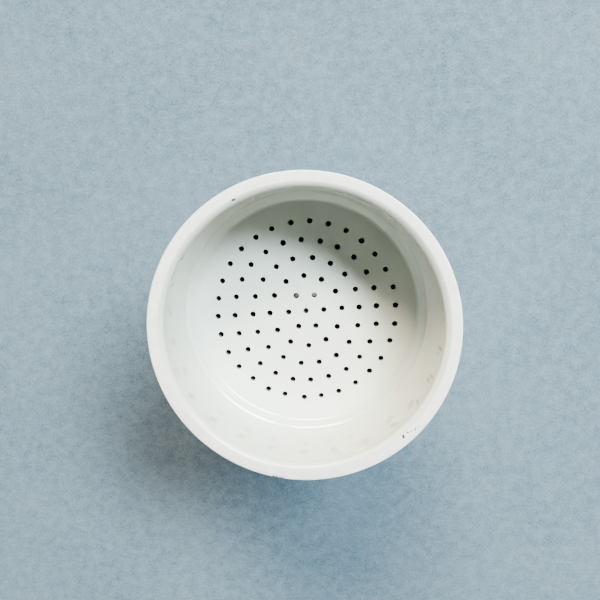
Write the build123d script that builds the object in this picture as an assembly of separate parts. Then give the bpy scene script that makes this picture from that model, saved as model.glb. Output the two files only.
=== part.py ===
from build123d import *

import os
from math import atan, cos, degrees, pi, radians, sin, tan

# Buchner funnel in glazed porcelain: a straight-sided cup over a perforated plate, with a
# hollow cone and a bevelled stem below. The pieces are formed apart, luted together with slip
# and fired. Millimetres. The axis is Z and the mouth faces up. The origin is on the axis,
# level with the lowest point of the stem's tip.

# Heights
overall_height = 150.0
cup_depth = 41.5  # rim down to the top of the plate
plate_thickness = 5.0
cone_depth = 35.5  # underside of the plate down to the top of the bore

# Radii
rim_radius = 54.7
shoulder_radius = 52.8  # outside of the cup where its wall meets the cone
lip_radius = 49.0  # inside of the cup just below the rim
seat_radius = 48.3  # inside of the cup round the plate
bed_radius = 45.0  # flat part of the plate, sized for 90 mm filter paper
chamber_radius = 44.5  # top of the hollow cone
stem_radius = 9.5
bore_radius = 6.0

# Cup
outer_lip_round = 0.6
inner_lip_round = 2.0
shoulder_round = 9.0
ledge_height = 4.5  # shelf under the plate, down to the joint with the cone

# Plate
hole_pitch = 7.25  # between rings, and from the centre to the first ring
hole_rings = 5
holes_per_ring_step = 6  # each ring has six holes more than the one inside it
hole_radius = 1.05
hole_chamfer = 0.2
seam_rebate = 0.6  # step round the plate's top edge that holds the seam's foot

# Seam round the top of the plate: a concave foot, a steep band, a rounded ledge and a
# concave junction with the cup's wall
seam_foot_round = 1.2
seam_ledge_round = 0.8
seam_top_round = 0.4
seam_band_angle = 65.0
seam_ledge_angle = 15.0

# Cone and its joints
cone_wall = 5.0
tongue_width = 2.4
tongue_height = 1.5
slip_thickness = 0.5  # slip above the tongue
stem_seat_depth = 2.0  # floor of the stem's seat below the top of the bore
spigot_radius = 9.0  # top end of the stem, inside the collar and the seat
collar_round = 20.0

# Stem
straight_foot = 20.0  # the stem is a true cylinder above this height
tip_radius = 9.0
bevel_rise = 12.0  # height of the slanted cut across the tip

# Worked out from the above
plate_top = overall_height - cup_depth
plate_bottom = plate_top - plate_thickness
bore_top = plate_bottom - cone_depth
joint_height = plate_bottom - ledge_height
cone_slope = cone_depth / (chamber_radius - bore_radius)
cone_angle = degrees(atan(cone_slope))
cone_drop = cone_wall / cos(radians(cone_angle))
stem_seat = bore_top - stem_seat_depth


def cone_inside(height):
    """Radius of the cone's inner surface at a height."""
    return bore_radius + (height - bore_top) / cone_slope


def cone_outside(height):
    """Radius of the cone's outer surface at a height."""
    return cone_inside(height + cone_drop)


def cone_outside_height(radius):
    """Height of the cone's outer surface at a radius."""
    return bore_top - cone_drop + (radius - bore_radius) * cone_slope


def outline(*points):
    """Face bounded by straight lines through (radius, height) points."""
    return make_face(Polyline(*points, close=True))


def rounded(face, corner, radius):
    """The face with the corner nearest to a (radius, height) point rounded."""
    vertex = face.vertices().sort_by_distance(Vector(*corner))[0]
    return fillet(vertex, radius)


def turned(face):
    """Solid made by turning a face drawn in (radius, height) about the axis."""
    return revolve(Rot(90, 0, 0) * face, Axis.Z, 360)


def ring(inner, outer, bottom, top):
    """Plain ring about the axis."""
    return turned(outline((inner, bottom), (outer, bottom), (outer, top), (inner, top)))


tongue_inner = (cone_inside(joint_height) + cone_outside(joint_height) - tongue_width) / 2
tongue_outer = tongue_inner + tongue_width
collar_reach = collar_round * tan(radians(90 - cone_angle) / 2)
collar_foot = cone_outside_height(stem_radius) - collar_reach


def seam_curve():
    """Visible edge of the seam in (radius, height), from the plate to the cup's wall."""
    band = radians(seam_band_angle)
    ledge = radians(seam_ledge_angle)
    across = seat_radius - bed_radius
    across -= seam_foot_round * sin(band)
    across -= seam_ledge_round * (sin(band) - sin(ledge))
    across -= seam_top_round * (1 - sin(ledge))
    foot = JernArc((bed_radius, plate_top), (1, 0), seam_foot_round, seam_band_angle)
    side = PolarLine(foot @ 1, across / cos(band), seam_band_angle)
    turn = seam_band_angle - seam_ledge_angle
    crest = JernArc(side @ 1, side % 1, seam_ledge_round, -turn)
    top = JernArc(crest @ 1, crest % 1, seam_top_round, 90 - seam_ledge_angle)
    return [foot, side, crest, top]


def cup():
    """Cup wall with its rim, and the ledge that carries the plate."""
    shoulder = (shoulder_radius, cone_outside_height(shoulder_radius))
    seam_end = seam_curve()[-1] @ 1
    face = outline(
        (cone_inside(joint_height), joint_height),
        (cone_outside(joint_height), joint_height),
        shoulder,
        (rim_radius, overall_height),
        (lip_radius, overall_height),
        (seat_radius, seam_end.Y),
        (seat_radius, plate_bottom),
        (chamber_radius, plate_bottom),
    )
    face = rounded(face, shoulder, shoulder_round)
    face = rounded(face, (rim_radius, overall_height), outer_lip_round)
    face = rounded(face, (lip_radius, overall_height), inner_lip_round)
    groove_top = joint_height + tongue_height + slip_thickness
    return turned(face) - ring(tongue_inner, tongue_outer, joint_height, groove_top)


def hole_centres():
    """Centres of the plate's holes: one in the middle, then evenly filled rings."""
    centres = [(0, 0)]
    for number in range(1, hole_rings + 1):
        count = holes_per_ring_step * number
        for step in range(count):
            angle = 2 * pi * step / count
            centres.append((number * hole_pitch * cos(angle), number * hole_pitch * sin(angle)))
    return centres


def perforated_plate():
    """Flat disc with rings of drain holes, stepped round its top edge for the seam."""
    disc = ring(0, seat_radius, plate_bottom, plate_top - seam_rebate)
    disc += ring(0, bed_radius, plate_top - seam_rebate, plate_top)
    drill = turned(
        outline(
            (0, plate_bottom),
            (hole_radius, plate_bottom),
            (hole_radius, plate_top - hole_chamfer),
            (hole_radius + hole_chamfer, plate_top),
            (0, plate_top),
        )
    )
    return disc - [Pos(x, y, 0) * drill for x, y in hole_centres()]


def plate_seam():
    """Ring of slip that closes the corner between the plate and the cup's wall."""
    curve = seam_curve()
    foot = plate_top - seam_rebate
    start = curve[0] @ 0
    end = curve[-1] @ 1
    sides = Polyline(end, (seat_radius, foot), (bed_radius, foot), start)
    return turned(make_face([*curve, sides]))


def cone():
    """Hollow cone with a tongue on its top face and a shallow seat for the stem below."""
    body = turned(
        outline(
            (cone_inside(joint_height), joint_height),
            (bore_radius, bore_top),
            (bore_radius, stem_seat),
            (spigot_radius, stem_seat),
            (spigot_radius, cone_outside_height(spigot_radius)),
            (cone_outside(joint_height), joint_height),
        )
    )
    return body + ring(tongue_inner, tongue_outer, joint_height, joint_height + tongue_height)


def shoulder_seam():
    """Ring of slip between the cone's tongue and the floor of the cup's groove."""
    bottom = joint_height + tongue_height
    return ring(tongue_inner, tongue_outer, bottom, bottom + slip_thickness)


def stem():
    """Outlet tube, cut aslant at its tip, with a thinner top end that fits the cone's seat."""
    tube = turned(
        outline(
            (bore_radius, 0),
            (tip_radius, 0),
            (stem_radius, straight_foot),
            (stem_radius, collar_foot),
            (spigot_radius, collar_foot),
            (spigot_radius, stem_seat),
            (bore_radius, stem_seat),
        )
    )
    low = -bevel_rise / 2
    waste = outline((-2 * tip_radius, low), (2 * tip_radius, low), (2 * tip_radius, 1.5 * bevel_rise))
    return tube - extrude(Rot(90, 0, 0) * waste, 2 * stem_radius, both=True)


def stem_collar():
    """Fillet of slip between the cone's outside and the stem."""
    sweep = JernArc((stem_radius, collar_foot), (0, 1), collar_round, cone_angle - 90)
    sides = Polyline(
        sweep @ 1,
        (spigot_radius, cone_outside_height(spigot_radius)),
        (spigot_radius, collar_foot),
        sweep @ 0,
    )
    return turned(make_face([sweep, sides]))


pieces = {
    "cup": cup(),
    "perforated_plate": perforated_plate(),
    "plate_seam": plate_seam(),
    "cone": cone(),
    "shoulder_seam": shoulder_seam(),
    "stem": stem(),
    "stem_collar": stem_collar(),
}

os.makedirs("parts", exist_ok=True)
for name, solid in pieces.items():
    export_step(solid, f"parts/{name}.step")
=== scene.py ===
import math
import random

import bmesh
import bpy
import numpy as np
from mathutils import Matrix, Vector
from mathutils.geometry import delaunay_2d_cdt


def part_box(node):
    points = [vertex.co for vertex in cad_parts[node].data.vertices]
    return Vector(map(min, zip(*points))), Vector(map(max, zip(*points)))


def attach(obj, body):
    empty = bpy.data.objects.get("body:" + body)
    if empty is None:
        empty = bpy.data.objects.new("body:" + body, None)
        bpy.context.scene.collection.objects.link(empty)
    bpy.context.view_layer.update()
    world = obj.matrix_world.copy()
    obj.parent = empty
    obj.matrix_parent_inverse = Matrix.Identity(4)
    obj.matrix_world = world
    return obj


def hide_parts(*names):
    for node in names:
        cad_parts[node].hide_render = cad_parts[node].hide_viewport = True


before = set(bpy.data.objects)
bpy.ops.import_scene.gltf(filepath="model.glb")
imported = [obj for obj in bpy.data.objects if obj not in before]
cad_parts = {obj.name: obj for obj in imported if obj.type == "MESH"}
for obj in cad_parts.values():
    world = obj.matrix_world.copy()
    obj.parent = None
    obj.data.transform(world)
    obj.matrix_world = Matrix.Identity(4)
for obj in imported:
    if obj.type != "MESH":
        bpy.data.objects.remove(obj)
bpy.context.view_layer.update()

# A Buchner funnel in glazed porcelain. Every piece is a closed mesh made here in millimetres,
# in the CAD model's frame: the axis is Z, the mouth faces up and the stem's tip is at Z = 0.
# A profile is a list of corners, each a (radius, height, rounding).

MM = 0.001


def foot_of(node):
    """Height of a CAD node's lowest point, in millimetres."""
    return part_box(node)[0].z / MM


def top_of(node):
    """Height of a CAD node's highest point, in millimetres."""
    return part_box(node)[1].z / MM


def reach_of(node):
    """Largest radius of a CAD node, in millimetres."""
    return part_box(node)[1].x / MM


# Heights and radii of the CAD nodes
RIM_TOP = top_of("cup")
RIM_REACH = reach_of("cup")
JOINT = foot_of("cup")
JOINT_REACH = reach_of("cone")
PLATE_TOP = top_of("perforated_plate")
PLATE_FOOT = foot_of("perforated_plate")
SEAT_RADIUS = reach_of("perforated_plate")
TONGUE_TOP = top_of("cone")
TONGUE_REACH = reach_of("shoulder_seam")
GROOVE_TOP = top_of("shoulder_seam")
CONE_FOOT = foot_of("cone")
COLLAR_FOOT = foot_of("stem_collar")
COLLAR_TOP = top_of("stem_collar")
COLLAR_REACH = reach_of("stem_collar")
STEM_TOP = top_of("stem")
STEM_RADIUS = reach_of("stem")

# Sizes that the boxes don't give
SHOULDER_RADIUS = 52.8
LIP_RADIUS = 49.0
CHAMBER_RADIUS = 44.5
BORE_RADIUS = 6.0
BORE_TOP = 68.0
TONGUE_WIDTH = 2.4
SPIGOT_RADIUS = 9.0
STRAIGHT_FOOT = 20.0
TIP_RADIUS = 9.0
BEVEL_SLOPE = 12.0 / 18.0  # rise of the tip's slanted cut per unit of width
BEVEL_REACH = 24.0  # the cut's slant dies away in the tube up to this height

LIP_WIDTH = 2.3  # the inner lip is a quarter of an ellipse, wider than it is deep
LIP_DEPTH = 1.7
OUTER_LIP_ROUND = 0.6
SHOULDER_ROUND = 9.0
JOINT_ROUND = 0.3  # softened edges either side of the joint between cup and cone
BORE_ROUND = 0.3
TIP_ROUND = 0.9
WALL_FOOT = PLATE_TOP + 4.0  # the inside wall leans outward above this height

HOLE_PITCH = 7.25
HOLE_RINGS = 5
HOLE_RADIUS = 1.08
HOLE_ROUND = 0.24
PLATE_SINK = 0.08  # the undulating face stays under the CAD plate's top by this much

# Errors of hand work
RIM_WARP = 0.0031  # half the share of its radius that the rim loses where it is narrowest
WARP_FOOT = 0.72  # share of the height above which the rim is warped
OUT_OF_ROUND = 0.0012  # share of the radius
PIERCING_ERROR = 0.17
SWELL = 0.05  # undulations of the plate's face
RIPPLE = 0.03

# Fineness of the meshes
TURNS = 720
ARC_STEP = math.radians(9)
RUN_STEP = 2.5

CONE_SLOPE = (JOINT_REACH - COLLAR_REACH) / (JOINT - COLLAR_TOP)  # radius per unit of height


# ---------------------------------------------------------------- profiles


def arc(centre, radius, start, turn, steps=None):
    """Points along an arc from the angle start through turn, both in radians."""
    steps = steps or max(2, round(abs(turn) / ARC_STEP))
    angles = [start + turn * i / steps for i in range(steps + 1)]
    return [centre + radius * Vector((math.cos(a), math.sin(a))) for a in angles]


def rounded_corner(before, corner, after, radius, steps=None):
    """Points of the arc that rounds the corner between two straight runs."""
    back = (before - corner).normalized()
    ahead = (after - corner).normalized()
    half = back.angle(ahead) / 2
    centre = corner + (back + ahead).normalized() * radius / math.sin(half)
    first = corner + back * radius / math.tan(half) - centre
    last = corner + ahead * radius / math.tan(half) - centre
    start = math.atan2(first.y, first.x)
    turn = (math.atan2(last.y, last.x) - start + math.pi) % (2 * math.pi) - math.pi
    return arc(centre, radius, start, turn, steps)


def softened_corner(before, corner, after, reach, steps):
    """Points of a curve that starts and ends at the same distance from a corner."""
    first = corner + (before - corner).normalized() * reach
    last = corner + (after - corner).normalized() * reach
    shares = [i / steps for i in range(steps + 1)]
    return [first.lerp(corner, t).lerp(corner.lerp(last, t), t) for t in shares]


def profile(corners):
    """Closed loop of (radius, height) points, with corners rounded and long runs divided."""
    points = []
    for i, (radius, height, rounding) in enumerate(corners):
        corner = Vector((radius, height))
        if rounding:
            before = Vector(corners[i - 1][:2])
            after = Vector(corners[(i + 1) % len(corners)][:2])
            points += rounded_corner(before, corner, after, rounding)
        else:
            points.append(corner)
    loop = []
    for i, point in enumerate(points):
        following = points[(i + 1) % len(points)]
        pieces = max(1, round((following - point).length / RUN_STEP))
        loop += [point.lerp(following, j / pieces) for j in range(pieces)]
    return loop


# ---------------------------------------------------------------- meshes


def rim_warp(angle):
    """Share of its radius that the rim lost in the kiln, which left it slightly oval."""
    return RIM_WARP * (1 - np.cos(2 * angle + 1.08))


def out_of_round(points):
    """Points moved slightly towards the axis, as a hand-turned piece is never quite round."""
    x, y, z = points.T
    angle = np.arctan2(y, x)
    oval = 0.45 * np.cos(2 * angle + 0.9 + z / 90) + 0.25 * np.cos(3 * angle - 1.1)
    ripple = 0.2 * np.cos(5 * angle + z / 30) + 0.1 * np.cos(9 * angle - z / 25 + 2.0)
    shrink = 1 - OUT_OF_ROUND * (1 - oval - ripple)
    height_share = np.clip((z / RIM_TOP - WARP_FOOT) / (1 - WARP_FOOT), 0, 1)
    shrink -= rim_warp(angle) * height_share
    return points * np.stack([shrink, shrink, np.ones_like(z)], axis=1)


def mesh_object(name, points, faces, material):
    """Mesh object from points in millimetres, smooth-shaded except at its corners."""
    points = out_of_round(np.asarray(points, float))
    mesh = bpy.data.meshes.new(name)
    mesh.from_pydata((points * MM).tolist(), [], faces)
    bm = bmesh.new()
    bm.from_mesh(mesh)
    bmesh.ops.recalc_face_normals(bm, faces=bm.faces)
    bm.to_mesh(mesh)
    bm.free()
    mesh.shade_smooth()
    mesh.set_sharp_from_angle(angle=math.radians(35))
    mesh.materials.append(material)
    piece = bpy.data.objects.new(name, mesh)
    bpy.context.scene.collection.objects.link(piece)
    return piece


def even_angles(count):
    """Angles in radians that divide a turn evenly."""
    return np.arange(count) * 2 * np.pi / count


def turned_faces(turns, count):
    """Quads of a ring made of turns cross-sections with count points each."""
    faces = []
    for i in range(turns):
        here = i * count
        there = (i + 1) % turns * count
        for j in range(count):
            k = (j + 1) % count
            faces.append((here + j, here + k, there + k, there + j))
    return faces


def lathe(loop, angles):
    """Points and quads of a closed (radius, height) loop turned about the axis."""
    radii = np.array([p.x for p in loop])
    heights = np.array([p.y for p in loop])
    x = np.outer(np.cos(angles), radii)
    y = np.outer(np.sin(angles), radii)
    z = np.tile(heights, (len(angles), 1))
    return np.stack([x, y, z], axis=2).reshape(-1, 3), turned_faces(len(angles), len(loop))


# ---------------------------------------------------------------- cup

# Chips in the rim's outer edge: azimuth in degrees, width along the edge, depth
CHIPS = [
    (-105.6, 0.24, 0.48),
    (-105.0, 0.15, 0.30),
    (-104.3, 0.26, 0.52),
    (-103.4, 0.17, 0.38),
    (-102.5, 0.24, 0.44),
    (-101.6, 0.15, 0.30),
    (-88.0, 0.18, 0.12),
    (37.0, 0.22, 0.12),
    (151.0, 0.25, 0.14),
]
CHIP_SPAN = 0.6  # degrees either side of a chip where the mesh is finer
CHIP_FADE = 0.8  # a chip dies away over about this distance from the rim's edge

# The inner lip is slightly uneven in a band round it
SPONGED_DEPTH = 0.12
SPONGED_INSET = 0.6  # middle of the band, outward from the lip's radius and down from the rim
SPONGED_WIDTH = 1.2
SPONGED_HEIGHT = 1.5


def chip_angles():
    """Even angles round the cup, with finer ones across each chip."""
    near = np.radians(np.linspace(-CHIP_SPAN, CHIP_SPAN, 21))
    fine = [math.radians(azimuth) + near for azimuth, _, _ in CHIPS]
    return np.unique(np.round(np.concatenate([even_angles(TURNS), *fine]) % (2 * np.pi), 6))


def chipped(points):
    """Points with the chips dented into the rim's outer edge."""
    angle = np.arctan2(points[:, 1], points[:, 0])
    radius = np.hypot(points[:, 0], points[:, 1])
    from_edge = np.hypot(radius - RIM_REACH, points[:, 2] - RIM_TOP)
    depth = np.zeros(len(points))
    for azimuth, width, deep in CHIPS:
        turn = (angle - math.radians(azimuth) + np.pi) % (2 * np.pi) - np.pi
        along = turn * RIM_REACH / width
        depth = np.maximum(depth, deep * np.exp(-(along**2)))
    depth *= np.exp(-((from_edge / CHIP_FADE) ** 2))
    moved = points.copy()
    moved[:, :2] *= (1 - depth / radius)[:, None]
    moved[:, 2] -= depth
    return moved


def sponged(points):
    """Points with the inner lip slightly uneven, as a wet sponge leaves it."""
    angle = np.arctan2(points[:, 1], points[:, 0])
    radius = np.hypot(points[:, 0], points[:, 1])
    across = (radius - LIP_RADIUS - SPONGED_INSET) / SPONGED_WIDTH
    down = (points[:, 2] - RIM_TOP + SPONGED_INSET) / SPONGED_HEIGHT
    wave = np.cos(2 * angle + 2.6) + 0.4 * np.cos(5 * angle) + 0.25 * np.cos(11 * angle + 1)
    highest = 1 + 0.4 + 0.25
    moved = points.copy()
    moved[:, 2] += SPONGED_DEPTH * np.exp(-(across**2) - down**2) * (wave - highest)
    return moved


def inner_lip(steps=14):
    """Corners down the soft roll from the flat of the rim to the cup's inside."""
    corners = []
    for i in range(steps + 1):
        angle = math.pi / 2 * i / steps
        inward = LIP_WIDTH * (1 - math.sin(angle))
        corners.append((LIP_RADIUS + inward, RIM_TOP - LIP_DEPTH * (1 - math.cos(angle)), 0))
    return corners


def make_cup(material):
    """Cup wall, its rim, and the ledge that carries the plate."""
    shoulder = COLLAR_TOP + (SHOULDER_RADIUS - COLLAR_REACH) / CONE_SLOPE
    rim_corner = RIM_REACH + 0.03  # the rounding takes this much back
    inner = CHAMBER_RADIUS - (PLATE_FOOT - JOINT) * CONE_SLOPE
    tongue = TONGUE_REACH - TONGUE_WIDTH
    corners = [
        (TONGUE_REACH, JOINT, 0),
        (JOINT_REACH, JOINT, JOINT_ROUND),
        (SHOULDER_RADIUS, shoulder, SHOULDER_ROUND),
        (rim_corner, RIM_TOP, OUTER_LIP_ROUND),
        *inner_lip(),
        (SEAT_RADIUS, WALL_FOOT, 0),
        (SEAT_RADIUS, PLATE_FOOT, 0),
        (CHAMBER_RADIUS, PLATE_FOOT, 0),
        (inner, JOINT, 0),
        (tongue, JOINT, 0),
        (tongue, GROOVE_TOP, 0),
        (TONGUE_REACH, GROOVE_TOP, 0),
    ]
    points, faces = lathe(profile(corners), chip_angles())
    return mesh_object("cup_body", chipped(sponged(points)), faces, material)


# ---------------------------------------------------------------- cone, collar and stem


def make_cone(material):
    """Hollow cone with the tongue that locates the cup, and the seat for the stem."""
    inner = CHAMBER_RADIUS - (PLATE_FOOT - JOINT) * CONE_SLOPE
    tongue = TONGUE_REACH - TONGUE_WIDTH
    corners = [
        (BORE_RADIUS, STEM_TOP, 0),
        (SPIGOT_RADIUS, STEM_TOP, 0),
        (SPIGOT_RADIUS, CONE_FOOT, 0),
        (JOINT_REACH, JOINT, JOINT_ROUND),
        (TONGUE_REACH, JOINT, 0),
        (TONGUE_REACH, TONGUE_TOP, 0),
        (tongue, TONGUE_TOP, 0),
        (tongue, JOINT, 0),
        (inner, JOINT, 0),
        (BORE_RADIUS, BORE_TOP, BORE_ROUND),
    ]
    points, faces = lathe(profile(corners), even_angles(TURNS))
    return mesh_object("cone_body", points, faces, material)


def make_collar(material):
    """Fillet of slip between the cone and the stem."""
    slope = math.atan(CONE_SLOPE)
    radius = (COLLAR_TOP - COLLAR_FOOT) / math.sin(slope)
    centre = Vector((STEM_RADIUS + radius, COLLAR_FOOT))
    sweep = arc(centre, radius, math.pi, -slope, steps=16)
    loop = [*sweep, Vector((SPIGOT_RADIUS, CONE_FOOT)), Vector((SPIGOT_RADIUS, COLLAR_FOOT))]
    points, faces = lathe(loop, even_angles(TURNS // 2))
    return mesh_object("stem_collar_fillet", points, faces, material)


def make_stem(material):
    """Outlet tube with a slanted tip and softened edges."""
    corners = [
        (BORE_RADIUS, 0, TIP_ROUND),
        (TIP_RADIUS, 0, TIP_ROUND),
        (STEM_RADIUS, STRAIGHT_FOOT, 0),
        (STEM_RADIUS, COLLAR_FOOT, 0),
        (SPIGOT_RADIUS, COLLAR_FOOT, 0),
        (SPIGOT_RADIUS, STEM_TOP, 0),
        (BORE_RADIUS, STEM_TOP, 0),
    ]
    points, faces = lathe(profile(corners), even_angles(TURNS // 4))
    rise = np.clip(points[:, 0] + TIP_RADIUS - TIP_ROUND, 0, None) * BEVEL_SLOPE
    share = np.clip(1 - points[:, 2] / BEVEL_REACH, 0, None)
    points[:, 2] += rise * share
    return mesh_object("stem_tube", points, faces, material)


# ---------------------------------------------------------------- seam round the plate

# The seam was laid by hand: one side is a plain slope, the other has a ledge under the wall.
SEAM_FOOT = 45.5
SEAM_FOOT_ROUND = 2.3
SEAM_DRIFT = Vector((0.2, 0.85))  # how far the seam's foot is off centre
SEAM_SHOULDER = 47.45
SEAM_SHOULDER_RISE = 3.0  # height of the shoulder over the plate
SEAM_SHOULDER_REACH = 0.17  # the shoulder is softened this far either way
SEAM_CREST = SEAT_RADIUS + 0.14
SEAM_CREST_RISE = 4.2
SEAM_CREST_ROUND = 0.7
LEDGE_LIFT = 0.8  # the shoulder is this much higher where the ledge is widest
SEAM_ROOT = PLATE_TOP - 0.5  # underside of the seam, hidden in the plate
SEAM_HEEL = 0.6  # the underside reaches this far inward of the foot
SEAM_BACK = 0.3  # the outer side lies this far beyond the crest, inside the cup's wall


def seam_section(angle):
    """Cross-section of the seam at an azimuth, as (radius, height) points."""
    ledge = 0.5 - 0.5 * math.sin(angle)
    waver = 0.06 * math.sin(3 * angle + 1) + 0.05 * math.sin(7 * angle) + 0.02 * math.sin(16 * angle)
    waver *= 0.15 + 0.85 * ledge  # the plain side is the steadier one
    drift = SEAM_DRIFT.x * math.cos(angle) + SEAM_DRIFT.y * math.sin(angle)
    lean = 0.07 * math.cos(3 * angle + 0.42)
    rise = SEAM_SHOULDER_RISE + LEDGE_LIFT * ledge + waver + lean
    foot = Vector((SEAM_FOOT - drift + waver, PLATE_TOP))
    shoulder = Vector((SEAM_SHOULDER + waver, PLATE_TOP + rise))
    crest = Vector((SEAM_CREST, PLATE_TOP + SEAM_CREST_RISE + 0.1 * ledge + 0.5 * waver))
    inward = foot - Vector((1, 0))
    upward = crest + Vector((0, 1))
    return [
        *rounded_corner(inward, foot, shoulder, SEAM_FOOT_ROUND + 0.5 * ledge, steps=10),
        *softened_corner(foot, shoulder, crest, SEAM_SHOULDER_REACH, steps=6),
        *rounded_corner(shoulder, crest, upward, SEAM_CREST_ROUND - 0.2 * ledge, steps=6),
        crest + Vector((SEAM_BACK, 0)),
        Vector((crest.x + SEAM_BACK, SEAM_ROOT)),
        Vector((foot.x - SEAM_HEEL, SEAM_ROOT)),
    ]


def make_seam(material):
    """Hand-laid ring of slip that closes the corner between plate and wall."""
    rows = []
    for i in range(TURNS):
        angle = 2 * math.pi * i / TURNS
        section = seam_section(angle)
        rows += [(p.x * math.cos(angle), p.x * math.sin(angle), p.y) for p in section]
    faces = turned_faces(TURNS, len(rows) // TURNS)
    return mesh_object("plate_seam_ring", rows, faces, material)


# ---------------------------------------------------------------- perforated plate


def pierced_holes():
    """Centre, radius, squash and turn of each hole, with the small errors of hand piercing."""
    rng = random.Random(7)
    holes = []
    for ring in range(HOLE_RINGS + 1):
        count = max(1, 6 * ring)
        for step in range(count):
            angle = 2 * math.pi * step / count
            centre = Vector((math.cos(angle), math.sin(angle))) * ring * HOLE_PITCH
            centre += Vector((rng.gauss(0, PIERCING_ERROR), rng.gauss(0, PIERCING_ERROR)))
            radius = HOLE_RADIUS * rng.uniform(0.95, 1.04)
            holes.append((centre, radius, rng.uniform(0.96, 1.0), rng.uniform(0, math.pi)))
    return holes


def hole_ring(hole, grow, count=32):
    """Points round one slightly oval hole, grown outward by grow."""
    centre, radius, squash, turn = hole
    points = []
    for i in range(count):
        angle = 2 * math.pi * i / count
        x = (radius + grow) * math.cos(angle)
        y = (radius * squash + grow) * math.sin(angle)
        points.append(centre + Matrix.Rotation(turn, 2) @ Vector((x, y)))
    return points


def plate_outline(count=288):
    """Points round the plate's edge."""
    return arc(Vector((0, 0)), SEAT_RADIUS, 0, 2 * math.pi, count)[:-1]


def plate_grid(holes, step=1.9, from_edge=0.8, from_hole=0.55):
    """Evenly spread points between the holes, so that the face can undulate."""
    clearance = HOLE_RADIUS + HOLE_ROUND + from_hole
    row_step = step * math.sqrt(3) / 2
    rows = int(SEAT_RADIUS / row_step)
    points = []
    for row in range(-rows, rows + 1):
        for column in range(-rows, rows + 1):
            point = Vector((step * (column + 0.5 * (row % 2)), row_step * row))
            inside = point.length < SEAT_RADIUS - from_edge
            if inside and min((point - hole[0]).length for hole in holes) > clearance:
                points.append(point)
    return points


def plate_face(holes):
    """Triangles of a flat face with a gap for every hole, and the points round each gap."""
    points = plate_outline()
    edge = range(len(points))
    edges = [(i, (i + 1) % len(points)) for i in edge]
    gaps = []
    gap_of = {}
    for number, hole in enumerate(holes):
        start = len(points)
        points += hole_ring(hole, HOLE_ROUND)
        gap = range(start, len(points))
        edges += [(i, start + (i - start + 1) % len(gap)) for i in gap]
        gaps.append(gap)
        gap_of.update({i: number for i in gap})
    points += plate_grid(holes)
    made, _, triangles, _, _, _ = delaunay_2d_cdt(points, edges, [], 1, 1e-6)
    assert len(made) == len(points)
    solid = []
    for triangle in triangles:
        owners = {gap_of.get(i) for i in triangle}
        if len(owners) > 1 or None in owners:
            solid.append(tuple(triangle))
    return made, solid, gaps, edge


def plate_height(point):
    """Height of the plate's slightly undulating top face."""
    swell = SWELL * math.sin(point.x / 6.5 + 1) * math.cos(point.y / 8 - 0.4)
    ripple = RIPPLE * math.sin((point.x + point.y) / 4.1)
    return PLATE_TOP - PLATE_SINK + swell + ripple


def hole_levels(top):
    """Growth and height of the rings of points down the inside of a hole, from top to bottom."""
    turns = [math.radians(a) for a in (15, 30, 45, 60, 75, 90)]
    levels = [(1 - math.sin(a), top - HOLE_ROUND * (1 - math.cos(a))) for a in turns]
    levels.append((0, (PLATE_TOP + PLATE_FOOT) / 2))
    levels += [(1 - math.sin(a), PLATE_FOOT + HOLE_ROUND * (1 - math.cos(a))) for a in turns[::-1]]
    return levels


def make_plate(material):
    """Perforated plate with softly rounded hole edges."""
    holes = pierced_holes()
    flat, triangles, gaps, edge = plate_face(holes)
    count = len(flat)
    points = [(p.x, p.y, plate_height(p)) for p in flat]
    points += [(p.x, p.y, PLATE_FOOT) for p in flat]
    faces = triangles + [tuple(count + i for i in reversed(t)) for t in triangles]
    for i in edge:
        j = (i + 1) % len(edge)
        faces.append((i, j, count + j, count + i))
    for hole, gap in zip(holes, gaps):
        rings = [list(gap)]
        for grow, height in hole_levels(plate_height(hole[0])):
            ring = hole_ring(hole, HOLE_ROUND * grow)
            rings.append(list(range(len(points), len(points) + len(ring))))
            points += [(p.x, p.y, height) for p in ring]
        rings.append([count + i for i in gap])
        for upper, lower in zip(rings, rings[1:]):
            for i in range(len(upper)):
                j = (i + 1) % len(upper)
                faces.append((upper[i], lower[i], lower[j], upper[j]))
    return mesh_object("perforated_disc", points, faces, material)


# ---------------------------------------------------------------- materials


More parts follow.
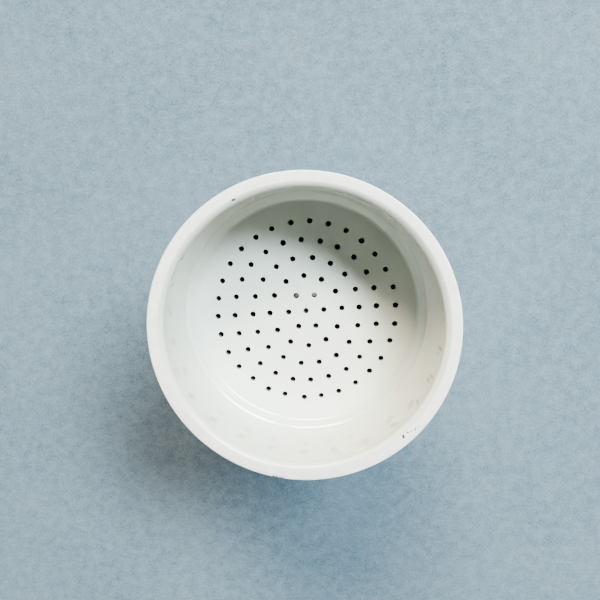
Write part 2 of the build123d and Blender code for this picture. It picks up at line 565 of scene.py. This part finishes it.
class Nodes:
    """Short way to build a material's node tree, with the position in metres as its input."""

    def __init__(self, name):
        self.material = bpy.data.materials.new(name)
        self.material.use_nodes = True
        self.tree = self.material.node_tree
        self.shader = self.tree.nodes["Principled BSDF"]
        self.place = self.add("ShaderNodeTexCoord").outputs["Object"]
        split = self.add("ShaderNodeSeparateXYZ")
        self.link(self.place, split.inputs["Vector"])
        self.x, self.y, self.height = split.outputs
        self.radius = self.hypotenuse(self.x, self.y)
        self.azimuth = self.math("ARCTAN2", self.y, self.x)

    def add(self, kind, **settings):
        """New node with its settings."""
        node = self.tree.nodes.new(kind)
        for key, value in settings.items():
            setattr(node, key, value)
        return node

    def link(self, source, target):
        """Feed a socket."""
        self.tree.links.new(source, target)

    def feed(self, value, socket):
        """Set a socket to a number or colour, or link it."""
        if isinstance(value, (int, float)):
            socket.default_value = value
        elif isinstance(value, tuple):
            socket.default_value = (*value, 1)
        else:
            self.link(value, socket)

    def math(self, operation, a, b=0.0):
        """Arithmetic on two values."""
        node = self.add("ShaderNodeMath", operation=operation)
        self.feed(a, node.inputs[0])
        self.feed(b, node.inputs[1])
        return node.outputs[0]

    def times(self, *values):
        """Product of several values."""
        result = values[0]
        for value in values[1:]:
            result = self.math("MULTIPLY", result, value)
        return result

    def plus(self, *values):
        """Sum of several values."""
        result = values[0]
        for value in values[1:]:
            result = self.math("ADD", result, value)
        return result

    def hypotenuse(self, a, b):
        """Root of the sum of two squares."""
        return self.math("SQRT", self.plus(self.times(a, a), self.times(b, b)))

    def noise(self, scale, detail=2.0, rough=0.5, vector=None):
        """Noise at a position, scale in lumps per metre."""
        node = self.add("ShaderNodeTexNoise")
        node.inputs["Scale"].default_value = scale
        node.inputs["Detail"].default_value = detail
        node.inputs["Roughness"].default_value = rough
        self.link(vector or self.place, node.inputs["Vector"])
        return node.outputs["Fac"]

    def ring_place(self, around):
        """Position that changes quickly with radius and height, and slowly round the axis."""
        slow = around / (RIM_REACH * MM)
        node = self.add("ShaderNodeCombineXYZ")
        self.link(self.plus(self.radius, self.times(self.x, slow)), node.inputs[0])
        self.link(self.height, node.inputs[1])
        self.link(self.times(self.y, slow), node.inputs[2])
        return node.outputs[0]

    def ramp(self, value, low, high, start=0.0, end=1.0):
        """Smooth step of a value, from start at low to end at high."""
        node = self.add("ShaderNodeMapRange", interpolation_type="SMOOTHSTEP")
        node.inputs["From Min"].default_value = low
        node.inputs["From Max"].default_value = high
        node.inputs["To Min"].default_value = start
        node.inputs["To Max"].default_value = end
        self.link(value, node.inputs["Value"])
        return node.outputs["Result"]

    def mix(self, factor, a, b):
        """Colour between a and b."""
        node = self.add("ShaderNodeMix", data_type="RGBA")
        colours = [socket for socket in node.inputs if socket.type == "RGBA"]
        self.feed(a, colours[0])
        self.feed(b, colours[1])
        self.feed(factor, node.inputs["Factor"])
        return next(socket for socket in node.outputs if socket.type == "RGBA")

    def between(self, factor, a, b):
        """Number between a and b."""
        node = self.add("ShaderNodeMix", data_type="FLOAT")
        numbers = [socket for socket in node.inputs if socket.type == "VALUE"]
        self.feed(factor, numbers[0])
        self.feed(a, numbers[1])
        self.feed(b, numbers[2])
        return next(socket for socket in node.outputs if socket.type == "VALUE")

    def specks(self, scale, size, share):
        """Small round spots, in the given share of the cells of a Voronoi pattern."""
        node = self.add("ShaderNodeTexVoronoi")
        node.inputs["Scale"].default_value = scale
        self.link(self.place, node.inputs["Vector"])
        split = self.add("ShaderNodeSeparateColor")
        self.link(node.outputs["Color"], split.inputs["Color"])
        chosen = self.math("LESS_THAN", split.outputs["Red"], share)
        return self.times(self.ramp(node.outputs["Distance"], size, size * 0.6), chosen)

    def spot(self, azimuth, radius, height, size):
        """Mask of one small ragged spot. Azimuth in degrees, the rest in millimetres."""
        angle = math.radians(azimuth)
        node = self.add("ShaderNodeVectorMath", operation="DISTANCE")
        self.link(self.place, node.inputs[0])
        centre = Vector((radius * math.cos(angle), radius * math.sin(angle), height))
        node.inputs[1].default_value = centre * MM
        ragged = self.plus(node.outputs["Value"], self.times(self.noise(2500, 2), size * MM * 0.9))
        edge = size * MM * 1.2
        fade = size * MM * 0.4
        return self.ramp(ragged, edge + fade, edge)

    def blotch(self, azimuth, height, across, tall, ragged):
        """Mask of a soft mark on the wall. Azimuth in degrees, height and half sizes in millimetres."""
        away = self.math("SUBTRACT", self.azimuth, math.radians(azimuth))
        side = self.times(away, self.radius, 1 / (across * MM))
        rise = self.times(self.math("SUBTRACT", self.height, height * MM), 1 / (tall * MM))
        return self.ramp(self.plus(self.hypotenuse(side, rise), ragged), 1.6, 0.9)

    def facing(self, azimuth, start):
        """Mask that rises towards one azimuth, in degrees, from the given cosine."""
        away = self.math("SUBTRACT", self.azimuth, math.radians(azimuth))
        return self.ramp(self.math("COSINE", away), start, 1.0)

    def most(self, *values):
        """Largest of several values."""
        result = values[0]
        for value in values[1:]:
            result = self.math("MAXIMUM", result, value)
        return result

    def finish(self, colour, roughness, height):
        """The material with its colour, roughness and relief, a height in metres."""
        node = self.add("ShaderNodeBump")
        node.inputs["Strength"].default_value = 1.0
        node.inputs["Distance"].default_value = 1.0
        self.link(height, node.inputs["Height"])
        self.link(node.outputs["Normal"], self.shader.inputs["Normal"])
        self.feed(colour, self.shader.inputs["Base Color"])
        self.feed(roughness, self.shader.inputs["Roughness"])
        return self.material


# Colours, in linear light
GLAZE = (0.760, 0.790, 0.762)
GLAZE_THIN = (0.793, 0.808, 0.785)
GLAZE_POOLED = (0.715, 0.76, 0.73)
# Warm, lighter glaze of the painted warm light on one side of the inside wall
GLAZE_PAINTED_WARM_LIGHT = (0.90, 0.86, 0.765)
BISCUIT = (0.955, 0.955, 0.95)
# Darker biscuit where the bare rim is darker
BISCUIT_DARKER = (0.85, 0.845, 0.83)
# Dark brown of the iron specks, also used for the painted shade in the rim's chips
IRON_AND_PAINTED_SHADE = (0.07, 0.055, 0.04)
GRIME = (0.30, 0.29, 0.27)
# Near-white of the painted highlights on the inside wall
PAINTED_HIGHLIGHT_WHITE = (1.0, 1.0, 0.99)
# Grey of the painted shade inside the plate's holes
HOLE_PAINTED_SHADE = (0.36, 0.36, 0.34)
SLIP_DARK = (0.76, 0.74, 0.70)
SLIP_PALE = (0.82, 0.81, 0.78)
PAPER_DARK = (0.105, 0.164, 0.227)
PAPER_PALE = (0.146, 0.211, 0.280)
PAPER_MOTTLE = (0.236, 0.307, 0.384)
PAPER_FIBRE = (0.32, 0.392, 0.456)

MICRON = 0.000001  # reliefs are in metres


def turned_outside(n):
    """Mask of the outer faces, which keep faint lines from the turning tool."""
    under_cup = n.ramp(n.height, PLATE_FOOT * MM, JOINT * MM)
    outer_wall = n.ramp(n.radius, (LIP_RADIUS + 2.4) * MM, (LIP_RADIUS + 3.4) * MM)
    return n.most(under_cup, outer_wall)


def inside_wall(n):
    """Mask of everything inside the rim's lip."""
    return n.ramp(n.radius, (LIP_RADIUS + 1.5) * MM, (LIP_RADIUS + 0.5) * MM)


def glaze_surface(n, pooled=None, dullness=0.0, orange_peel_inside=0.15 * MICRON):
    """Colour, roughness and relief of a glossy glaze over white porcelain."""
    outside = turned_outside(n)
    depth = n.ramp(n.noise(35, 3), 0.35, 0.65)
    colour = n.mix(depth, GLAZE, GLAZE_THIN)
    if pooled is not None:
        colour = n.mix(pooled, colour, GLAZE_POOLED)
    rings = n.ramp(n.noise(260, 3, 0.55, n.ring_place(0.003)), 0.4, 0.7)
    colour = n.mix(n.times(rings, outside, 0.5), colour, GLAZE_POOLED)
    speck = n.times(n.specks(110, 0.022, 0.05), 0.75)
    colour = n.mix(speck, colour, IRON_AND_PAINTED_SHADE)
    smear = n.ramp(n.noise(90, 4, 0.6, n.ring_place(0.02)), 0.45, 0.75)
    roughness = n.between(smear, 0.025 + dullness, 0.07 + dullness)
    fine_turning = n.noise(420, 2, 0.5, n.ring_place(0.004))
    broad_turning = n.noise(130, 1, 0.5, n.ring_place(0.002))
    orange_peel = n.noise(190, 1)
    pinhole = n.specks(160, 0.03, 0.06)
    height = n.plus(
        n.times(fine_turning, n.between(outside, 0.1 * MICRON, 12 * MICRON)),
        n.times(broad_turning, outside, 90 * MICRON),
        n.times(orange_peel, n.between(outside, orange_peel_inside, 15 * MICRON)),
        n.times(pinhole, -30 * MICRON),
    )
    return colour, roughness, height


def glazed_porcelain():
    """Glazed porcelain, dull inside the bore."""
    n = Nodes("glazed_porcelain")
    colour, roughness, height = glaze_surface(n)
    bore = n.ramp(n.radius, (BORE_RADIUS + 0.6) * MM, (BORE_RADIUS + 0.2) * MM)
    return n.finish(colour, n.between(bore, roughness, 0.6), height)


def pierced_porcelain():
    """Glazed porcelain of the plate, with grey painted shade inside its drain holes."""
    n = Nodes("pierced_porcelain")
    colour, roughness, height = glaze_surface(n)
    # Painted shade: the walls of the holes are greyed below their rounded edge, mottled by noise.
    top = (PLATE_TOP - PLATE_SINK - HOLE_ROUND) * MM
    inside_hole = n.ramp(n.height, top, top - 0.35 * MM)
    hole_painted_shade = n.times(inside_hole, n.ramp(n.noise(700, 2), 0.2, 0.6, 0.8, 1.0))
    return n.finish(n.mix(hole_painted_shade, colour, HOLE_PAINTED_SHADE), roughness, height)


def glazed_slip():
    """Glazed slip of the hand-laid seams, where the glaze has pooled."""
    n = Nodes("glazed_slip")
    pooled = n.ramp(n.noise(60, 2), 0.3, 0.7, 0.1, 0.5)
    return n.finish(*glaze_surface(n, pooled, dullness=0.12, orange_peel_inside=7.5 * MICRON))


# Specks fired into the rim: azimuth in degrees, radius, size
RIM_SPECKS = [
    (113.5, 50.2, 0.44),
    (114.1, 50.3, 0.44),
    (-51.3, 51.6, 0.50),
    (-50.95, 51.1, 0.38),
    (-48.8, 51.4, 0.32),
    (-47.5, 51.9, 0.22),
    (-45.9, 52.4, 0.30),
    (158.0, 52.9, 0.16),
    (12.0, 51.9, 0.14),
]

# Smudges on the inside wall: azimuth in degrees, drop below the rim, half width, half height
# and strength
SMUDGES = [
    (-0.5, 5.0, 0.5, 2.6, 0.40),
    (-13.0, 7.2, 0.8, 3.8, 0.75),
    (-15.4, 8.8, 0.5, 2.8, 0.40),
    (-25.6, 7.0, 0.7, 4.0, 0.75),
    (-27.8, 8.6, 0.8, 4.0, 0.75),
    (-37.8, 6.6, 0.8, 3.2, 0.70),
    (-40.9, 10.6, 2.2, 3.4, 0.55),
    (-53.6, 15.6, 2.2, 3.4, 0.45),
    (-72.5, 20.5, 1.4, 2.6, 0.26),
    (-73.0, 8.0, 6.5, 3.6, 0.13),
    (-83.0, 21.5, 1.3, 2.6, 0.22),
    (-93.6, 20.7, 1.3, 2.6, 0.26),
    (-108.4, 21.5, 1.5, 3.0, 0.28),
    (-121.1, 20.1, 1.9, 3.2, 0.30),
    (-135.7, 20.5, 1.6, 3.0, 0.26),
    (-140.6, 5.7, 1.2, 2.4, 0.20),
    (-161.6, 16.2, 2.0, 3.6, 0.38),
    (-164.6, 8.1, 1.4, 2.4, 0.30),
    (-175.8, 12.7, 1.7, 3.4, 0.40),
    (146.2, 4.6, 0.9, 2.2, 0.80),
    (158.4, 6.9, 0.9, 2.6, 0.80),
    (169.4, 9.6, 0.9, 2.4, 0.55),
    (171.6, 11.8, 1.1, 2.4, 0.55),
]

# Painted highlights on the inside wall, streaks lighter than the glaze that stand in for glints on
# uneven glaze, listed in the same way
PAINTED_HIGHLIGHT_STREAKS = [
    (-77.5, 10.4, 3.0, 2.2, 0.9),
    (-73.5, 8.0, 3.6, 2.4, 1.0),
    (-69.0, 6.0, 3.4, 2.2, 1.0),
    (-69.5, 11.5, 2.6, 1.8, 0.8),
    (-137.4, 17.2, 2.0, 2.0, 0.5),
    (-132.0, 22.0, 2.0, 2.0, 0.5),
]


def wall_marks(n, marks):
    """Mask of a list of mottled marks on the inside wall, used for the smudges and for the painted
    highlights.
    """
    ragged = n.times(n.noise(600, 3), 0.8)
    masks = []
    for azimuth, drop, across, tall, strength in marks:
        masks.append(n.times(n.blotch(azimuth, RIM_TOP - drop, across, tall, ragged), strength))
    mottle = n.ramp(n.noise(900, 3), 0.35, 0.6, 0.35, 1.0)
    return n.times(n.most(*masks), inside_wall(n), mottle)


def bare_rim(n):
    """Mask of the flat of the rim, which is ground free of glaze up to a ragged edge."""
    ragged = n.plus(n.radius, n.times(n.noise(300, 3), 0.6 * MM))
    inner_edge = n.ramp(ragged, (LIP_RADIUS + 1.75) * MM, (LIP_RADIUS + 2.3) * MM)
    outer_edge = n.ramp(ragged, (RIM_REACH + 0.1) * MM, (RIM_REACH - 0.4) * MM)
    on_top = n.ramp(n.height, (RIM_TOP - 0.5) * MM, (RIM_TOP - 0.15) * MM)
    return n.times(inner_edge, outer_edge, on_top)


def chip_painted_shade(n):
    """Mask of painted shade in the rim's chips, darkening their hollows."""
    marks = []
    for azimuth, width, deep in CHIPS:
        edge_radius = RIM_REACH * (1 - rim_warp(math.radians(azimuth))) - 0.5 * deep
        marks.append(n.spot(azimuth, edge_radius, RIM_TOP - 0.5 * deep, 1.3 * width))
    return n.most(*marks)


def cup_porcelain():
    """Glazed porcelain with a bare ground rim, chips and a few iron specks."""
    n = Nodes("cup_porcelain")
    colour, roughness, height = glaze_surface(n)
    bare = bare_rim(n)
    # The bare rim is darker in random patches, more so towards azimuth -125, and a little smoother
    # where it is darker.
    rim_darkening = n.ramp(n.plus(n.noise(120, 5, 0.65), n.times(n.facing(-125, -0.5), 0.2)), 0.5, 0.8)
    biscuit = n.mix(rim_darkening, BISCUIT, BISCUIT_DARKER)
    # Painted warm light: the inside wall facing azimuth -32 is tinted warm and made lighter, mottled by
    # noise.
    painted_warm_light = n.times(n.facing(-32, 0.35), inside_wall(n), n.ramp(n.noise(45, 3), 0.2, 0.6, 0.5, 1.0))
    # Streak pattern of the painted highlights.
    highlight_streak_lines = n.ramp(n.noise(520, 3, 0.6, n.ring_place(0.02)), 0.48, 0.56)
    specks = n.most(*(n.spot(azimuth, radius, RIM_TOP, size) for azimuth, radius, size in RIM_SPECKS))

    # Painted warm light on one side of the inside wall.
    colour = n.mix(painted_warm_light, colour, GLAZE_PAINTED_WARM_LIGHT)
    colour = n.mix(wall_marks(n, SMUDGES), colour, GRIME)
    # Painted highlights: light streaks on the inside wall.
    colour = n.mix(n.times(wall_marks(n, PAINTED_HIGHLIGHT_STREAKS), highlight_streak_lines), colour, PAINTED_HIGHLIGHT_WHITE)
    colour = n.mix(bare, colour, biscuit)
    # Painted shade in the chips of the rim's edge.
    colour = n.mix(n.times(chip_painted_shade(n), 0.8), colour, IRON_AND_PAINTED_SHADE)
    colour = n.mix(n.times(specks, 0.96), colour, IRON_AND_PAINTED_SHADE)

    # The glaze thins towards the lip and is duller there.
    thin = n.ramp(n.height, (RIM_TOP - 10.0) * MM, (RIM_TOP - 1.2) * MM, 0.0, 0.3)
    roughness = n.between(bare, n.most(roughness, thin), n.between(rim_darkening, 0.62, 0.5))
    grain = n.times(n.noise(3500, 3, 0.6), 10 * MICRON)
    grinding = n.times(n.noise(1800, 2, 0.5, n.ring_place(0.01)), 6 * MICRON)
    return n.finish(colour, roughness, n.between(bare, height, n.plus(grain, grinding)))


def fired_slip():
    """Unglazed slip inside the joint between cup and cone."""
    n = Nodes("fired_slip")
    colour = n.mix(n.ramp(n.noise(400, 4), 0.3, 0.7), SLIP_DARK, SLIP_PALE)
    roughness = n.ramp(n.noise(900, 3), 0.3, 0.7, 0.55, 0.75)
    return n.finish(colour, roughness, n.times(n.noise(2500, 3), 20 * MICRON))


def paper():
    """Pale blue-grey paper of the floor."""
    n = Nodes("paper")
    cloud = n.ramp(n.noise(14, 4, 0.6), 0.3, 0.7)
    mottle = n.ramp(n.noise(170, 5, 0.7), 0.3, 0.7)
    fibre = n.ramp(n.noise(900, 5, 0.75), 0.35, 0.65)
    colour = n.mix(cloud, PAPER_DARK, PAPER_PALE)
    colour = n.mix(n.times(mottle, 0.7), colour, PAPER_MOTTLE)
    colour = n.mix(n.times(fibre, 0.5), colour, PAPER_FIBRE)
    return n.finish(colour, 0.9, n.times(n.noise(900, 4, 0.7), 200 * MICRON))


# ---------------------------------------------------------------- camera, lights and floor

CAMERA_FROM_PLATE = Vector((8.4, 42.5, 261.1))
AIM_ON_PLATE = Vector((-2.17, 4.7, 0.0))
CAMERA_UP_AZIMUTH = 85.88
CAMERA_LENS = 39.0

# Where the two halves of the window-like light come from, and their colours
COOL_SIDE = (0.51, 0.56, 1)
WARM_SIDE = (-0.04, 1.03, 1)
COOL_COLOUR = (0.85, 1.0, 1.0)
WARM_COLOUR = (1.0, 0.87, 0.68)

STRIPS = [("low_right", -28, 1.5), ("low_left", -140, 0.45)]  # name, azimuth in degrees, power
STRIP_HEIGHT = 70
STRIP_COLOUR = (0.92, 0.97, 1.0)

GLIMMERS = [(27, 0.00023), (61.5, 0.00028)]  # height in the bore, power
GLIMMER_COLOUR = (1.0, 0.94, 0.86)

ROOM_COLOUR = (0.80, 0.92, 1.0)
ROOM_LOW = 0.3  # strength of the room's light from the horizon and below it
ROOM_HIGH = 0.01  # and from above
ROOM_SEEN = 0.5  # strength that the camera sees

FLOOR_REACH = 0.9  # metres


def make_camera():
    """Camera close above the mouth, a little to one side of the axis."""
    back = (CAMERA_FROM_PLATE - AIM_ON_PLATE).normalized()
    up = math.radians(CAMERA_UP_AZIMUTH)
    right = Vector((math.cos(up), math.sin(up), 0)).cross(back).normalized()
    axes = Matrix((right, back.cross(right), back)).transposed()
    data = bpy.data.cameras.new("camera")
    data.lens = CAMERA_LENS
    data.clip_start = 0.01
    camera = bpy.data.objects.new("camera", data)
    eye = (Vector((0, 0, PLATE_TOP)) + CAMERA_FROM_PLATE) * MM
    camera.matrix_world = Matrix.Translation(eye) @ axes.to_4x4()
    bpy.context.scene.collection.objects.link(camera)
    bpy.context.scene.camera = camera


def soft_light(name, height, direction, distance, size, turn, power, colour):
    """Rectangular light that points at a height on the axis, from a direction and distance.

    The height is in millimetres and the turn in degrees. The distance and size are in metres.
    """
    away = Vector(direction).normalized()
    data = bpy.data.lights.new(name, "AREA")
    data.shape = "RECTANGLE"
    data.size, data.size_y = size
    data.energy = power
    data.color = colour
    side = Vector((math.cos(math.radians(turn)), math.sin(math.radians(turn)), 0))
    side = (side - away * side.dot(away)).normalized()
    axes = Matrix((side, away.cross(side), away)).transposed()
    lamp = bpy.data.objects.new(name, data)
    eye = Vector((0, 0, height * MM)) + away * distance
    lamp.matrix_world = Matrix.Translation(eye) @ axes.to_4x4()
    lamp.visible_camera = False
    bpy.context.scene.collection.objects.link(lamp)
    return data


def make_lights():
    """Two halves of one long window-like light, two low strips and two glimmers in the bore."""
    soft_light("cool_half", PLATE_TOP, COOL_SIDE, 3.0, (1.25, 0.70), -40, 124, COOL_COLOUR)
    soft_light("warm_half", PLATE_TOP, WARM_SIDE, 3.0, (1.12, 0.70), -35, 88, WARM_COLOUR)

    # The strips stay under the rim's level, so that they light the outside only.
    for name, azimuth, power in STRIPS:
        angle = math.radians(azimuth)
        direction = (math.cos(angle), math.sin(angle), 0)
        size = (0.8, 0.11)
        strip = soft_light(name, STRIP_HEIGHT, direction, 1.1, size, azimuth + 90, power, STRIP_COLOUR)
        strip.spread = math.radians(50)

    # Daylight reaches a little way up the bore: two small discs that shine down.
    for number, (height, power) in enumerate(GLIMMERS):
        name = f"bore_glimmer_{number}"
        size = (0.004, 0.004)
        glimmer = soft_light(name, height, (0, 0, 1), 0, size, 0, power, GLIMMER_COLOUR)
        glimmer.shape = "DISK"


def make_room():
    """Dim room, brighter near the horizon, that looks pale behind the object."""
    world = bpy.data.worlds.new("world")
    world.use_nodes = True
    tree = world.node_tree
    path = tree.nodes.new("ShaderNodeLightPath")
    place = tree.nodes.new("ShaderNodeTexCoord")
    split = tree.nodes.new("ShaderNodeSeparateXYZ")
    fade = tree.nodes.new("ShaderNodeMapRange")
    fade.interpolation_type = "SMOOTHSTEP"
    fade.inputs["From Min"].default_value = 0.0
    fade.inputs["From Max"].default_value = 0.15
    fade.inputs["To Min"].default_value = ROOM_LOW
    fade.inputs["To Max"].default_value = ROOM_HIGH
    shown = tree.nodes.new("ShaderNodeMix")
    shown.inputs["B"].default_value = ROOM_SEEN
    background = tree.nodes["Background"]
    background.inputs["Color"].default_value = (*ROOM_COLOUR, 1)
    tree.links.new(place.outputs["Generated"], split.inputs["Vector"])
    tree.links.new(split.outputs["Z"], fade.inputs["Value"])
    tree.links.new(path.outputs["Is Camera Ray"], shown.inputs["Factor"])
    tree.links.new(fade.outputs["Result"], shown.inputs["A"])
    tree.links.new(shown.outputs["Result"], background.inputs["Strength"])
    bpy.context.scene.world = world
    bpy.context.scene.view_settings.look = "AgX - High Contrast"


def make_floor():
    """Round sheet of paper under the stem's tip."""
    angles = even_angles(180)
    sheet = [(FLOOR_REACH * math.cos(a), FLOOR_REACH * math.sin(a), 0) for a in angles]
    mesh = bpy.data.meshes.new("floor")
    mesh.from_pydata(sheet, [], [tuple(range(len(sheet)))])
    mesh.materials.append(paper())
    floor = bpy.data.objects.new("floor", mesh)
    bpy.context.scene.collection.objects.link(floor)


# ---------------------------------------------------------------- the funnel


def place(piece, node):
    """The piece stands for a CAD node and rides with the funnel."""
    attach(piece, "root")
    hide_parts(node)


def dress(node, material):
    """Give a CAD node that stays its own material."""
    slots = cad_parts[node].data.materials
    slots.clear()
    slots.append(material)


make_camera()
make_lights()
make_room()
make_floor()

glazed = glazed_porcelain()
seam_slip = glazed_slip()
place(make_cup(cup_porcelain()), "cup")
place(make_cone(glazed), "cone")
place(make_stem(glazed), "stem")
place(make_collar(seam_slip), "stem_collar")
place(make_seam(seam_slip), "plate_seam")
place(make_plate(pierced_porcelain()), "perforated_plate")
dress("shoulder_seam", fired_slip())
